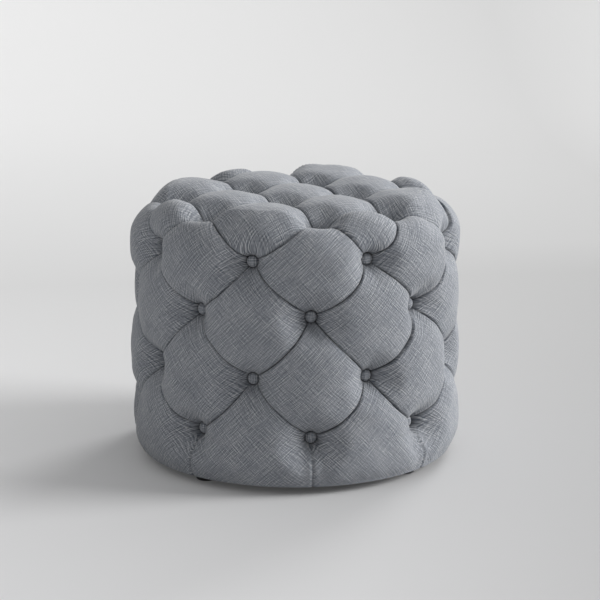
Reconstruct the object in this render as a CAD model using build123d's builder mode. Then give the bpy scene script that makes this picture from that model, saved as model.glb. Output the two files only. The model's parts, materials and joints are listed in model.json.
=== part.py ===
from build123d import *
from collections import namedtuple
from math import asin, atan2, cos, degrees, hypot, pi, radians, sin, sqrt, tan
import os

os.makedirs("parts", exist_ok=True)

# A round, deep-buttoned ottoman. Millimetres, +Z up, the origin on the floor under the middle.
# Azimuths are in degrees from the front (-Y), counted towards the right side (+X).

# Overall size
overall_diameter = 559.0
overall_height = 457.0
floor_clearance = 14.0

# Side tufts
column_count = 8
side_tuft_rise = 45.0
hem_rise = 33.0
top_side_row_height = 376.0
upper_side_row_height = 288.0
lower_side_row_height = 184.0
bottom_side_row_height = 88.0
side_crease_rise = 30.0
crown_fullness = 20.0
swell_lead_share = 0.4
swell_roundness = 0.8
pleat_depth = 4.0
pleat_width = 5.0
pleat_swell = 12.0
skirt_swell = 3.0

# Top tufts, on a square lattice
rim_tie_inset = 4.6138
top_tuft_rise = 47.0
top_crease_rise = 33.0
rim_crease_swell = 33.0
centre_flat_radius = 14.0
centre_flat_shares = (0.98, 0.90, 0.98, 1.01)
crease_line_width = 1.5
crease_dip = 2.0
middle_tuft_fullness = 14.0
centre_fullness = 4.0

# Cover and padding
cover_thickness = 1.6
fit = 0.3
hem_turn_in = 32.0
least_filling = 4.0
side_foam_thickness = 16.5
foam_edge_drop = 22.0
foam_edge_slant = 20.0
rings_per_row = 4

# Buttons and ties
button_diameter = 19.0
button_height = 7.5
button_edge_height = 3.0
button_seat_width = 24.0
button_gap = 0.2
tie_diameter = 2.4
tie_hole_diameter = 4.0
tie_slope = 48.0
knot_diameter = 7.0
washer_diameter = 16.0
washer_thickness = 1.5

# Frame
base_board_inset = 11.5
base_land_width = 57.5
board_thickness = 15.0
deck_top_height = 366.0
deck_thickness = 12.0
wall_board_thickness = 4.0
hoop_width = 48.0
post_count = 8
post_depth = 32.0
post_width = 30.0

# Underside
dust_cover_overlap = 10.0
dust_cover_thickness = 0.8
staple_leg = 6.0
staple_crown = 10.0
staple_wire = 0.8
hem_staple_count = 32
dust_staple_count = 16
hem_staple_inset = 17.0
dust_staple_inset = 5.0

# Feet and screws
foot_count = 4
foot_circle_inset = 24.0
foot_diameter = 38.0
foot_edge_radius = 3.0
foot_recess_diameter = 16.0
foot_recess_depth = 6.0
foot_taper = 2.0
foot_screw_length = 22.0
screw_diameter = 4.0
screw_head_diameter = 8.0
screw_head_height = 2.6
screw_length = 38.0
screw_fit = 0.1

# One overrun serves every cut
overrun = 5.0

column_angle = 360.0 / column_count
half_column = column_angle / 2.0

# The form repeats every quarter turn, and each quarter of a ring has as many arcs
quarters = 4
quarter_turn = 360.0 / quarters
arcs_per_quarter = 4

# Tuft sizes that follow from the driving ones
seat_circle_diameter = overall_diameter - 2.0 * side_tuft_rise
seat_radius = seat_circle_diameter / 2.0
seat_half = button_seat_width / 2.0
hem_diameter = seat_circle_diameter + 2.0 * hem_rise
top_seat_height = overall_height - top_tuft_rise
core_inset = cover_thickness + least_filling + fit

# Stack of the side, from the seats inwards
foam_radius = seat_radius - core_inset
wall_board_radius = foam_radius - side_foam_thickness - fit
wall_inner_radius = wall_board_radius - wall_board_thickness
frame_radius = wall_inner_radius - fit
base_board_diameter = hem_diameter - 2.0 * base_board_inset
foot_circle_diameter = base_board_diameter - 2.0 * foot_circle_inset

# The top lattice ends where its outer ties still clear the wall board
outer_button_radius = wall_inner_radius - rim_tie_inset
lattice_pitch = outer_button_radius / hypot(0.5, 1.5)
inner_button_radius = lattice_pitch / sqrt(2.0)
outer_button_turn = degrees(atan2(0.5, 1.5))

# Stack of heights, from the hem up
flange_top_height = floor_clearance + cover_thickness
base_bottom_height = flange_top_height + fit
base_top_height = base_bottom_height + board_thickness
deck_bottom_height = deck_top_height - deck_thickness
foam_top_height = top_seat_height - core_inset
flange_radius = hem_diameter / 2.0 - hem_turn_in
dust_cover_bottom = floor_clearance - dust_cover_thickness
hoop_height = (lower_side_row_height + upper_side_row_height) / 2.0

# A knot of the tufted form: a base point in the meridian, the lean of its outward direction
# above level, and how far it stands out from the base along that direction.
Knot = namedtuple("Knot", "radius azimuth height lean rise")
upright = 90.0


def point(radius, azimuth, height):
    """The point at an azimuth from the front."""
    angle = radians(azimuth)
    return Vector(radius * sin(angle), -radius * cos(angle), height)


def raised(knot, turn, inset):
    """The knot's place on the form, drawn in by an inset."""
    out = knot.rise - inset
    lean = radians(knot.lean)
    return point(knot.radius + out * cos(lean), knot.azimuth + turn, knot.height + out * sin(lean))


def part_way(start, end, share, swell):
    """The knot at a share of the way between two others, swollen outwards, most near the deeper."""
    mixed = [first + (last - first) * share for first, last in zip(start, end)]
    climb = (end.rise - start.rise) / side_tuft_rise
    from_deeper = share if climb > 0 else 1.0 - share
    eased = from_deeper ** (1.0 - swell_lead_share * abs(climb))
    mixed[-1] += swell * sin(pi * eased) ** swell_roundness
    return Knot(*mixed)


def half_angle(half_width, radius):
    return degrees(asin(half_width / radius))


def hem_ring(inset):
    """The fabric's lower edge: shallow pleats under the buttons of the bottom row."""
    height = floor_clearance + inset
    gap = half_angle(pleat_width / 2.0, seat_radius)
    azimuths = [gap, column_angle - gap, column_angle + gap, quarter_turn - gap]
    joints = [Knot(seat_radius, azimuth, height, 0, hem_rise - pleat_depth) for azimuth in azimuths]
    rises = [hem_rise - pleat_depth, hem_rise, hem_rise - pleat_depth, hem_rise]
    middles = [
        Knot(seat_radius, index * half_column, height, 0, rise) for index, rise in enumerate(rises)
    ]
    return joints, middles


def side_ring(height, seats):
    """A ring through a row of side buttons. Its arcs are seats and crowns in turn."""
    gap = half_angle(seat_half, seat_radius)
    joints = []
    middles = []
    for index in range(arcs_per_quarter):
        azimuth = index * half_column
        if index % 2 == seats:
            middles.append(Knot(seat_radius, azimuth, height, 0, 0))
            joints.append(Knot(seat_radius, azimuth + gap, height, 0, 0))
        else:
            middles.append(Knot(seat_radius, azimuth, height, 0, side_tuft_rise))
            joints.append(Knot(seat_radius, azimuth + half_column - gap, height, 0, 0))
    return joints, middles


def rim_ring(outwards):
    """A ring through the outer top buttons, to one side or the other of their middles."""
    radius = outer_button_radius + outwards * seat_half
    gap = half_angle(seat_half, outer_button_radius)
    near = half_column - outer_button_turn
    far = half_column + outer_button_turn
    azimuths = [near + gap, far - gap, far + gap, quarter_turn + near - gap]
    joints = [Knot(radius, azimuth, top_seat_height, upright, 0) for azimuth in azimuths]
    crease_radius = lattice_pitch * 1.5 + outwards * crease_line_width / 2.0
    crown_radius = lattice_pitch * sqrt(2.0) + outwards * seat_half
    middles = [
        Knot(radius, near, top_seat_height, upright, 0),
        Knot(crease_radius, half_column, top_seat_height, upright, top_crease_rise),
        Knot(radius, far, top_seat_height, upright, 0),
        Knot(crown_radius, half_column + column_angle, top_seat_height, upright, top_tuft_rise),
    ]
    return joints, middles


def inner_ring(outwards):
    """A ring through the four inner top buttons and along the creases between them."""
    radius = inner_button_radius + outwards * seat_half
    seat_azimuth = half_column + column_angle
    gap = half_angle(seat_half, radius)
    crease = lattice_pitch / 2.0 + outwards * crease_line_width / 2.0
    turn = 2.0 * gap
    foot = crease / cos(radians(column_angle - turn))
    knee = crease / cos(radians(column_angle - (turn + gap) / 2.0))
    azimuths = [seat_azimuth - quarter_turn + turn, seat_azimuth - turn]
    joints = [Knot(foot, azimuth, top_seat_height, upright, crown_fullness / 2.0) for azimuth in azimuths]
    azimuths = [seat_azimuth - gap, seat_azimuth + gap]
    joints += [Knot(radius, azimuth, top_seat_height, upright, 0) for azimuth in azimuths]
    knee_turn = (turn + gap) / 2.0
    knee_rise = crown_fullness / 4.0
    middles = [
        Knot(knee, seat_azimuth - quarter_turn + knee_turn, top_seat_height, upright, knee_rise),
        Knot(crease, half_column, top_seat_height, upright, top_crease_rise),
        Knot(knee, seat_azimuth - knee_turn, top_seat_height, upright, knee_rise),
        Knot(radius, seat_azimuth, top_seat_height, upright, 0),
    ]
    return joints, middles


def centre_ring():
    """The flat crown of the middle tuft."""
    seat_azimuth = half_column + column_angle
    turns = [half_column - quarter_turn, -half_column, -half_column / 2.0, half_column / 2.0]
    azimuths = [seat_azimuth + turn for turn in turns]
    joints = [
        Knot(centre_flat_radius, azimuth, top_seat_height, upright, top_tuft_rise)
        for azimuth in azimuths
    ]
    before = [azimuths[-1] - quarter_turn] + azimuths[:-1]
    middles = [
        Knot(centre_flat_radius * share, (first + last) / 2.0, top_seat_height, upright, top_tuft_rise)
        for share, first, last in zip(centre_flat_shares, before, azimuths)
    ]
    return joints, middles


def arcs_through(joints, middles, inset):
    """The arcs of one whole ring, each from a joint through its middle to the next joint."""
    turns = [quarter * quarter_turn for quarter in range(quarters)]
    ends = [raised(knot, turn, inset) for turn in turns for knot in joints]
    crowns = [raised(knot, turn, inset) for turn in turns for knot in middles]
    with BuildLine():
        return [ThreePointArc(ends[index - 1], crown, ends[index]) for index, crown in enumerate(crowns)]


def rings_between(start, end, steps, crease_swell, crown_swells, inset):
    """The rings from one key ring up to the next, without the last."""
    rings = []
    for step in range(steps):
        share = step / steps
        joints = [
            part_way(first, last, share, crease_swell) for first, last in zip(start[0], end[0])
        ]
        middles = [
            part_way(first, last, share, swell)
            for first, last, swell in zip(start[1], end[1], crown_swells)
        ]
        rings.append(arcs_through(joints, middles, inset))
    return rings


def tufted_rings(inset):
    """Every ring of the tufted form, from the hem up the side and in over the top."""
    full = [crown_fullness] * arcs_per_quarter
    flat = [0] * arcs_per_quarter
    rows = [bottom_side_row_height, lower_side_row_height, upper_side_row_height, top_side_row_height]
    rings = []
    lower = hem_ring(inset)
    swell = (pleat_swell, [pleat_swell, skirt_swell, pleat_swell, skirt_swell])
    for index, height in enumerate(rows):
        upper = side_ring(height - seat_half, index % 2)
        rings += rings_between(lower, upper, rings_per_row, *swell, inset)
        lower = side_ring(height + seat_half, index % 2)
        rings += rings_between(upper, lower, 1, 0, flat, inset)
        swell = (side_crease_rise, full)
    over_rim = (rim_crease_swell, full)
    rings += rings_between(lower, rim_ring(1), rings_per_row, *over_rim, inset)
    rings += rings_between(rim_ring(1), rim_ring(-1), 1, 0, flat, inset)
    valley = top_crease_rise - crease_dip
    between_creases = top_tuft_rise - top_crease_rise
    over_top = (top_crease_rise, [valley, between_creases, valley, crown_fullness])
    rings += rings_between(rim_ring(-1), inner_ring(1), rings_per_row, *over_top, inset)
    rings += rings_between(inner_ring(1), inner_ring(-1), 1, 0, flat, inset)
    centre = centre_ring()
    middle = middle_tuft_fullness
    into_centre = (middle, [middle, centre_fullness, middle, middle])
    rings += rings_between(inner_ring(-1), centre, rings_per_row, *into_centre, inset)
    rings.append(arcs_through(*centre, inset))
    return rings


def tufted_faces(inset):
    """The form's faces: a ruled loft from each arc to the one above it, and the crown's flat."""
    rings = tufted_rings(inset)
    faces = [
        Face.make_surface_from_curves(lower, upper)
        for ring, above in zip(rings, rings[1:])
        for lower, upper in zip(ring, above)
    ]
    faces.append(Face(Wire(rings[-1])))
    return faces, Wire(rings[0])


def level_circle(radius, height):
    return Edge.make_circle(radius, Plane.XY.offset(height))


def radial_plane(radius, azimuth, height, lean=0):
    """A plane at a point of the form, facing outwards and leaning up by an angle."""
    tilt = radians(lean)
    outward = point(cos(tilt), azimuth, sin(tilt))
    return Plane(origin=point(radius, azimuth, height), z_dir=outward)


def upright_plane(azimuth, height):
    """A level plane with its x axis towards an azimuth."""
    return Plane(origin=(0, 0, height), x_dir=point(1.0, azimuth, 0), z_dir=(0, 0, 1))


def at_radius(plane, radius):
    """The same plane, moved out along its own x axis."""
    return Plane(origin=plane.origin + plane.x_dir * radius, x_dir=plane.x_dir, z_dir=plane.z_dir)


def facing_down(plane):
    return Plane(origin=plane.origin, x_dir=plane.x_dir, z_dir=-plane.z_dir)


# Where the buttons sit
def side_seats(height, first):
    azimuths = [first + column * column_angle for column in range(column_count)]
    return [radial_plane(seat_radius, azimuth, height) for azimuth in azimuths]


outer_azimuths = [
    half_column + side * outer_button_turn + quarter * quarter_turn
    for quarter in range(quarters)
    for side in (-1, 1)
]
inner_azimuths = [half_column + column_angle + quarter * quarter_turn for quarter in range(quarters)]
button_rows = {
    "side_top_row": side_seats(top_side_row_height, half_column),
    "side_upper_row": side_seats(upper_side_row_height, 0),
    "side_lower_row": side_seats(lower_side_row_height, half_column),
    "side_bottom_row": side_seats(bottom_side_row_height, 0),
    "top_outer_ring": [
        radial_plane(outer_button_radius, azimuth, top_seat_height, upright)
        for azimuth in outer_azimuths
    ],
    "top_inner_ring": [
        radial_plane(inner_button_radius, azimuth, top_seat_height, upright)
        for azimuth in inner_azimuths
    ],
}

# The ties run straight in from their buttons, but those of the side's top row slope down
# to come out below the deck.
tie_rows = dict(button_rows)
tie_rows["side_top_row"] = [
    radial_plane(seat_radius, half_column + column * column_angle, top_side_row_height, tie_slope)
    for column in range(column_count)
]
side_tie_planes = [plane for row, planes in tie_rows.items() if row.startswith("side") for plane in planes]
top_tie_planes = [plane for row, planes in tie_rows.items() if row.startswith("top") for plane in planes]
all_tie_planes = side_tie_planes + top_tie_planes
side_tie_reach = seat_radius - frame_radius
slanted_tie_reach = side_tie_reach / cos(radians(tie_slope))
top_tie_reach = top_seat_height - deck_bottom_height


def tie_holes(planes, depth):
    """Cuts the holes of the ties inwards from the button seats."""
    with Locations(*planes):
        Cylinder(
            tie_hole_diameter / 2.0,
            depth + overrun,
            align=(Align.CENTER, Align.CENTER, Align.MAX),
            mode=Mode.SUBTRACT,
        )
        Cylinder(
            tie_hole_diameter / 2.0,
            overrun,
            align=(Align.CENTER, Align.CENTER, Align.MIN),
            mode=Mode.SUBTRACT,
        )


# Where the feet and staples sit
foot_azimuths = [column_angle + index * 360.0 / foot_count for index in range(foot_count)]
foot_circle_radius = foot_circle_diameter / 2.0
hem_staple_radius = hem_diameter / 2.0 - hem_staple_inset
dust_cover_radius = flange_radius + dust_cover_overlap
dust_staple_radius = dust_cover_radius - dust_staple_inset
staple_hole = staple_wire + 2.0 * screw_fit
pilot_radius = screw_diameter / 2.0 + screw_fit
leg_spacing = staple_crown - staple_wire
hem_staple_turn = 360.0 / hem_staple_count / 2.0
dust_staple_turn = 360.0 / dust_staple_count / 2.0


def staple_legs(radius, count, turn, size):
    """The plan of a ring of staples: two legs each, side by side along the ring."""
    with PolarLocations(radius, count, start_angle=turn):
        with GridLocations(0, leg_spacing, 1, 2):
            Rectangle(size, size)


# Padded cover: the woven fabric and the fibre drawn in behind it by the buttons, as one soft
# layer from the tufted form down to the foam, turned in under the base board
form_faces, hem_wire = tufted_faces(0)
tufted_form = Solid(Shell(form_faces + [Face(hem_wire)]))
base_edge = base_board_diameter / 2.0 + fit
foam_edge = foam_radius + fit
foam_crest = foam_top_height + fit

with BuildPart() as tufted_cover:
    add(tufted_form)
    with BuildSketch(Plane.XZ):
        with BuildLine():
            Polyline(
                (0, floor_clearance - overrun),
                (flange_radius, floor_clearance - overrun),
                (flange_radius, flange_top_height),
                (base_edge, flange_top_height),
                (base_edge, base_top_height + fit),
                (foam_edge, base_top_height + fit),
                (foam_edge, foam_crest - foam_edge_drop),
                (foam_edge - foam_edge_slant, foam_crest),
                (0, foam_crest),
                close=True,
            )
        make_face()
    revolve(axis=Axis.Z, mode=Mode.SUBTRACT)
    tie_holes(all_tie_planes, seat_half)
    with BuildSketch(Plane.XY.offset(floor_clearance)):
        staple_legs(hem_staple_radius, hem_staple_count, hem_staple_turn, staple_hole)
        staple_legs(dust_staple_radius, dust_staple_count, dust_staple_turn, staple_hole)
    extrude(amount=cover_thickness, mode=Mode.SUBTRACT)
tufted_cover.part.label = "tufted_cover"
export_step(tufted_cover.part, "parts/tufted_cover.step")

# Foam: a wrap round the barrel and a pad on the deck with a slanted edge
with BuildPart() as side_foam:
    with BuildSketch(Plane.XY.offset(base_top_height + fit)):
        Circle(foam_radius)
        Circle(wall_board_radius + fit, mode=Mode.SUBTRACT)
    extrude(amount=deck_top_height - base_top_height - fit)
    tie_holes(side_tie_planes, slanted_tie_reach)
side_foam.part.label = "side_foam"
export_step(side_foam.part, "parts/side_foam.step")

with BuildPart() as top_foam:
    with BuildSketch(Plane.XY.offset(deck_top_height + fit)):
        Circle(foam_radius)
    extrude(amount=foam_top_height - deck_top_height - fit)
    chamfer(
        top_foam.edges().group_by(Axis.Z)[-1],
        length=foam_edge_drop,
        length2=foam_edge_slant,
        reference=top_foam.faces().sort_by(Axis.Z)[-1],
    )
    tie_holes(side_tie_planes, slanted_tie_reach)
    tie_holes(top_tie_planes, top_tie_reach)
top_foam.part.label = "top_foam"
export_step(top_foam.part, "parts/top_foam.step")


def screw_holes(planes, depth):
    """Cuts countersunk screw holes, each from its plane down."""
    head = screw_head_diameter / 2.0 + screw_fit
    with Locations(*planes):
        Cylinder(
            pilot_radius,
            depth,
            align=(Align.CENTER, Align.CENTER, Align.MAX),
            mode=Mode.SUBTRACT,
        )
        Cone(
            pilot_radius,
            head,
            screw_head_height,
            align=(Align.CENTER, Align.CENTER, Align.MAX),
            mode=Mode.SUBTRACT,
        )


# Barrel wall: bent board round the posts, drilled for the ties
with BuildPart() as wall_board:
    with BuildSketch(Plane.XY.offset(base_top_height)):
        Circle(wall_board_radius)
        Circle(wall_inner_radius, mode=Mode.SUBTRACT)
    extrude(amount=deck_top_height - base_top_height)
    tie_holes(side_tie_planes, slanted_tie_reach)
wall_board.part.label = "wall_board"
export_step(wall_board.part, "parts/wall_board.step")

# Posts: upright blocks between the base board and the deck
post_azimuths = [half_column / 2.0 + index * 360.0 / post_count for index in range(post_count)]
post_outer_radius = sqrt(frame_radius**2 - (post_width / 2.0) ** 2)
post_middle_radius = post_outer_radius - post_depth / 2.0
post_height = deck_bottom_height - base_top_height
hoop_inner_radius = frame_radius - hoop_width
hoop_middle_height = hoop_height + board_thickness / 2.0
deck_screw_planes = [
    at_radius(upright_plane(azimuth, deck_top_height), post_middle_radius) for azimuth in post_azimuths
]
base_screw_planes = [
    facing_down(at_radius(upright_plane(azimuth, base_bottom_height), post_middle_radius))
    for azimuth in post_azimuths
]
hoop_screw_planes = [
    facing_down(radial_plane(hoop_inner_radius, azimuth, hoop_middle_height))
    for azimuth in post_azimuths
]
screw_reach = screw_length - board_thickness
deck_screw_reach = screw_length - deck_thickness

for index, azimuth in enumerate(post_azimuths):
    foot_plane = upright_plane(azimuth, base_top_height)
    with BuildPart() as post:
        with BuildSketch(foot_plane):
            with Locations((post_middle_radius, 0)):
                Rectangle(post_depth, post_width)
        extrude(amount=post_height)
        with BuildSketch(foot_plane):
            with Locations((post_middle_radius, 0)):
                Circle(pilot_radius)
        extrude(amount=screw_reach + screw_fit, mode=Mode.SUBTRACT)
        with BuildSketch(foot_plane.offset(post_height)):
            with Locations((post_middle_radius, 0)):
                Circle(pilot_radius)
        extrude(amount=-deck_screw_reach - screw_fit, mode=Mode.SUBTRACT)
        with BuildSketch(radial_plane(hoop_inner_radius, azimuth, hoop_middle_height)):
            Circle(pilot_radius)
        extrude(amount=screw_length + screw_fit, mode=Mode.SUBTRACT)
    post.part.label = f"post_{index + 1}"
    export_step(post.part, f"parts/post_{index + 1}.step")

# Deck: the board that carries the top foam, drilled for the top ties
with BuildPart() as deck:
    with BuildSketch(Plane.XY.offset(deck_bottom_height)):
        Circle(frame_radius)
    extrude(amount=deck_thickness)
    tie_holes(top_tie_planes, top_tie_reach)
    screw_holes(deck_screw_planes, deck_thickness)
deck.part.label = "deck"
export_step(deck.part, "parts/deck.step")

# Hoop: a stiffening ring half way up, notched round the posts
with BuildPart() as hoop:
    with BuildSketch(Plane.XY.offset(hoop_height)):
        Circle(frame_radius)
        Circle(hoop_inner_radius, mode=Mode.SUBTRACT)
    extrude(amount=board_thickness)
    for azimuth in post_azimuths:
        with BuildSketch(upright_plane(azimuth, hoop_height)):
            with Locations((post_middle_radius + overrun / 2.0, 0)):
                Rectangle(post_depth + 2.0 * fit + overrun, post_width + 2.0 * fit)
        extrude(amount=board_thickness, mode=Mode.SUBTRACT)
    screw_holes(hoop_screw_planes, hoop_width)
hoop.part.label = "hoop"
export_step(hoop.part, "parts/hoop.step")

# Base board: a ring with a hand opening, wider than the barrel to carry the padding
with BuildPart() as base_board:
    with BuildSketch(Plane.XY.offset(base_bottom_height)):
        Circle(base_board_diameter / 2.0)
        Circle(frame_radius - base_land_width, mode=Mode.SUBTRACT)
    extrude(amount=board_thickness)
    screw_holes(base_screw_planes, board_thickness)
    for azimuth in foot_azimuths:
        with BuildSketch(upright_plane(azimuth, base_bottom_height)):
            with Locations((foot_circle_radius, 0)):
                Circle(pilot_radius)
        extrude(amount=board_thickness, mode=Mode.SUBTRACT)
    with BuildSketch(Plane.XY.offset(base_bottom_height)):
        staple_legs(hem_staple_radius, hem_staple_count, hem_staple_turn, staple_hole)
        staple_legs(dust_staple_radius, dust_staple_count, dust_staple_turn, staple_hole)
    extrude(amount=staple_leg, mode=Mode.SUBTRACT)
base_board.part.label = "base_board"
export_step(base_board.part, "parts/base_board.step")

# Buttons: fabric-covered domes on flat backs, one node for each row
dome_height = button_height - button_edge_height
button_radius = button_diameter / 2.0
dome_radius = (button_radius**2 + dome_height**2) / (2.0 * dome_height)

for row, planes in button_rows.items():
    with BuildPart() as buttons:
        with BuildSketch(Plane.XZ) as button_profile:
            with BuildLine():
                back = Line((0, button_gap), (button_radius, button_gap))
                edge = Line(back @ 1, (button_radius, button_gap + button_edge_height))
                crown = (0, button_gap + button_height)
                dome = RadiusArc(edge @ 1, crown, -dome_radius)
                Line(dome @ 1, back @ 0)
            make_face()
        one_button = revolve(axis=Axis.Z, mode=Mode.PRIVATE)
        with Locations(*planes):
            add(one_button)
    buttons.part.label = f"buttons_{row}"
    export_step(buttons.part, f"parts/buttons_{row}.step")

# Ties: waxed twine from each button through the padding to a knot inside the barrel
knot_radius = knot_diameter / 2.0
washer_rows = ["side_upper_row", "side_lower_row", "side_bottom_row", "top_inner_ring"]

for row, planes in tie_rows.items():
    reach = top_tie_reach if row.startswith("top") else side_tie_reach
    bearing = washer_thickness if row in washer_rows else 0
    knot_depth = reach + bearing + fit + knot_radius
    start = 0
    if row == "side_top_row":
        knot_depth = (side_tie_reach + knot_radius) / cos(radians(tie_slope))
        start = tie_diameter / 2.0 * tan(radians(tie_slope))
    with BuildPart() as ties:
        with Locations(*[plane.offset(-start) for plane in planes]):
            Cylinder(
                tie_diameter / 2.0,
                knot_depth - start,
                align=(Align.CENTER, Align.CENTER, Align.MAX),
            )
        with Locations(*[plane.offset(-knot_depth) for plane in planes]):
            Sphere(knot_radius)
    ties.part.label = f"ties_{row}"
    export_step(ties.part, f"parts/ties_{row}.step")

    # Washers: fibre discs that spread each straight tie's pull on the board
    if row in washer_rows:
        with BuildPart() as washers:
            with Locations(*[plane.offset(-reach) for plane in planes]):
                Cylinder(
                    washer_diameter / 2.0,
                    washer_thickness,
                    align=(Align.CENTER, Align.CENTER, Align.MAX),
                )
            tie_holes([plane.offset(-reach) for plane in planes], washer_thickness)
        washers.part.label = f"washers_{row}"
        export_step(washers.part, f"parts/washers_{row}.step")


# Wood screws: one node for each set, heads flush in their countersinks
def screw_set(name, planes, length):
    """A node of like countersunk screws, each with its head's face on a plane and pointing below it."""
    head = screw_head_diameter / 2.0
    shank = screw_diameter / 2.0
    with BuildPart() as screws:
        with BuildSketch(Plane.XZ):
            with BuildLine():
                Polyline(
                    (0, 0),
                    (head, 0),
                    (shank, -screw_head_height),
                    (shank, shank - length),
                    (0, -length),
                    close=True,
                )
            make_face()
        one_screw = revolve(axis=Axis.Z, mode=Mode.PRIVATE)
        with Locations(*planes):
            add(one_screw)
    screws.part.label = name
    export_step(screws.part, f"parts/{name}.step")


screw_set("deck_screws", deck_screw_planes, screw_length)
screw_set("base_screws", base_screw_planes, screw_length)
screw_set("hoop_screws", hoop_screw_planes, screw_length)

# Dust cover: thin black cloth under the base, over the raw edge of the hem
with BuildPart() as dust_cover:
    with BuildSketch(Plane.XY.offset(dust_cover_bottom)):
        Circle(dust_cover_radius)
    extrude(amount=dust_cover_thickness)
    with BuildSketch(Plane.XY.offset(dust_cover_bottom)):
        staple_legs(dust_staple_radius, dust_staple_count, dust_staple_turn, staple_hole)
    extrude(amount=dust_cover_thickness, mode=Mode.SUBTRACT)
    for azimuth in foot_azimuths:
        with BuildSketch(upright_plane(azimuth, dust_cover_bottom)):
            with Locations((foot_circle_radius, 0)):
                Circle(pilot_radius)
        extrude(amount=dust_cover_thickness, mode=Mode.SUBTRACT)
dust_cover.part.label = "dust_cover"
export_step(dust_cover.part, "parts/dust_cover.step")


# Staples: a close ring holds the hem to the base board and a wider one the dust cover
def staple_ring(name, radius, count, turn, cloth_height):
    """A ring of wire staples driven up from the underside of a cloth."""
    with BuildPart() as staples:
        with BuildSketch(Plane.XY.offset(cloth_height - staple_wire)):
            with PolarLocations(radius, count, start_angle=turn):
                Rectangle(staple_wire, staple_crown)
        extrude(amount=staple_wire)
        with BuildSketch(Plane.XY.offset(cloth_height)):
            staple_legs(radius, count, turn, staple_wire)
        extrude(amount=staple_leg)
    staples.part.label = name
    export_step(staples.part, f"parts/{name}.step")


staple_ring("hem_staples", hem_staple_radius, hem_staple_count, hem_staple_turn, floor_clearance)
staple_ring(
    "dust_cover_staples",
    dust_staple_radius,
    dust_staple_count,
    dust_staple_turn,
    dust_cover_bottom,
)

# Feet: four low round glides, each screwed up into the base board
foot_radius = foot_diameter / 2.0
foot_places = [
    at_radius(upright_plane(azimuth, 0), foot_circle_radius) for azimuth in foot_azimuths
]

for index, place in enumerate(foot_places):
    with BuildPart() as foot:
        with BuildSketch(place):
            Circle(foot_radius - foot_taper)
        with BuildSketch(place.offset(dust_cover_bottom)):
            Circle(foot_radius)
        loft()
        fillet(foot.edges().group_by(Axis.Z)[0], foot_edge_radius)
        with BuildSketch(place):
            Circle(foot_recess_diameter / 2.0)
        extrude(amount=foot_recess_depth, mode=Mode.SUBTRACT)
        screw_holes([facing_down(place.offset(foot_recess_depth))], dust_cover_bottom)
    foot.part.label = f"foot_{index + 1}"
    export_step(foot.part, f"parts/foot_{index + 1}.step")

foot_screw_planes = [facing_down(place.offset(foot_recess_depth)) for place in foot_places]
screw_set("foot_screws", foot_screw_planes, foot_screw_length)
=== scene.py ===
import bmesh
import bpy
import json
import random
from math import atan2, cos, degrees, exp, hypot, pi, radians, sin, sqrt
from mathutils import Matrix, Vector, noise
from mathutils.kdtree import KDTree


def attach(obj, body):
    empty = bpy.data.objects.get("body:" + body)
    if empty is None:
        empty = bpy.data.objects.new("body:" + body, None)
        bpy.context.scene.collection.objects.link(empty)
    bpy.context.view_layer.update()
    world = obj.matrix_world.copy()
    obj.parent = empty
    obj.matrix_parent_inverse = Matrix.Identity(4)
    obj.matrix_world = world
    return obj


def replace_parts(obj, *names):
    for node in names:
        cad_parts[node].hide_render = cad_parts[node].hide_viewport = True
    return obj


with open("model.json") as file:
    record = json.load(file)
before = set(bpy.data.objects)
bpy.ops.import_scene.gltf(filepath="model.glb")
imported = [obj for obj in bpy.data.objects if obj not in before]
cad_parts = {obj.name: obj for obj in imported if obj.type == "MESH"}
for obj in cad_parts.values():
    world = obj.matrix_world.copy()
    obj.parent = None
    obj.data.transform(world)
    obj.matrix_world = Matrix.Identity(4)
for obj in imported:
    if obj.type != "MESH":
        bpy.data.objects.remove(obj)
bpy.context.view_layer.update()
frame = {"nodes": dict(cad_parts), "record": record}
random.seed(7)

# Millimetres up to the moment a point is placed; the scene itself is in metres.
MM = 0.001

# The same sizes as the solids have
COLUMNS = 8
COLUMN = 360.0 / COLUMNS
QUARTERS = 4
QUARTER = 360.0 / QUARTERS
SEAT_RADIUS = 234.5
HEM_RADIUS = 267.5
HEM_HEIGHT = 14.0
BOTTOM_ROW = 88.0
LOWER_ROW = 184.0
UPPER_ROW = 288.0
TOP_ROW = 376.0
TOP_SEAT = 410.0
LATTICE = 128.506
OUTER = LATTICE * hypot(0.5, 1.5)
INNER = LATTICE / sqrt(2.0)
OUTER_TURN = degrees(atan2(0.5, 1.5))
BUTTON_RADIUS = 9.5
FABRIC = 1.6

# The run is the distance up the side, over the rim and in along the top.
SEAT_HALF = 12.0
RIM_START = 388.0
RIM_END = 460.0
OUTER_RUN = RIM_END + SEAT_HALF
SHOULDER_RADIUS = OUTER + SEAT_HALF

# Inside, the cover ends against the base board, the side foam and the top foam: radius and height
FLANGE_RADIUS = 235.5
LINING = (
    (256.3, HEM_HEIGHT + FABRIC),
    (256.3, 31.2),
    (228.9, 31.2),
    (228.9, 380.0),
    (208.9, 404.4),
)

# The grid of a tuft: its cells along each side, and how much of their steps is even or eased
CELLS = 40
EVEN_SHARE = 0.55
EASED_SHARE = 0.45
SEAM_MERGE = 0.02
TINY = 0.01

# Lengths along the surface are measured this far outside the seats, and never on a smaller circle
ARC_BULGE = 22.0
LEAST_RADIUS = 20.0

# How far the tufts stand out, and the slow unevenness of their filling
CROWN = 43.5
TOP_CROWN = 45.5
SKIRT_SWELL = 3.0
SKIRT_POWER = 2.6
SHOULDER_SWELL = -2.0
KITE_SHOULDER = -8.0
FAN_SHOULDER = 2.0
SWELL_SPREAD = 1.2
RIPPLE_SPAN = 46.0
RIPPLE_HEIGHT = 2.2
RIPPLE_SHIFT = 90.0

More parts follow.
